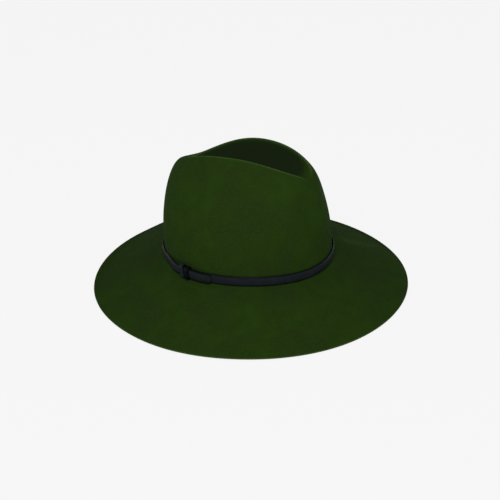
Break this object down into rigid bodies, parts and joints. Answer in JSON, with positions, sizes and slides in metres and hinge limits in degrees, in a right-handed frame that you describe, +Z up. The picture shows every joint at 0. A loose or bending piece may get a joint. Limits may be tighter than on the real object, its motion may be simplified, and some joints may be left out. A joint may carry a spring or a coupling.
{
  "type": "wide-brimmed felt hat",
  "caption": "Wide-brimmed wool-felt fedora with a centre dent, a thin leather band that lifts off, a keeper that slides along it, and a ribbon sweatband.",
  "frame": {"origin": "on the table plane, under the middle of the brim's bounding box; the hat stands on its brim edge", "axes": "+Z up along the crown, -Y to the hat's front, so -X is the wearer's right side, where the keeper is"},
  "size_m": [0.3566, 0.376, 0.165],
  "materials": {
    "felt": "matt wool felt, dark olive green",
    "leather": "smooth, soft sheen, blue-black",
    "ribbon": "grosgrain ribbon, black",
    "thread": "matt thread",
    "label": "satin, blank"
  },
  "bodies": {
    "hat": {"felt_body": "felt", "sweatband": "ribbon", "sweatband_stitching": "thread", "sweatband_join": "ribbon", "size_label": "label", "care_label": "label"},
    "band": {"hat_band": "leather"},
    "keeper": {"band_keeper": "leather"}
  },
  "joints": [
    {"name": "band_lift", "type": "slide", "parent": "hat", "child": "band", "axis": [0, 0, 1], "range_m": [0, 0.14]},
    {"name": "keeper_slide", "type": "hinge", "parent": "band", "child": "keeper", "pos_m": [0.01444, 0.00086, 0.0405], "axis": [0, 0, 1], "range_deg": [-5, 5]}
  ]
}
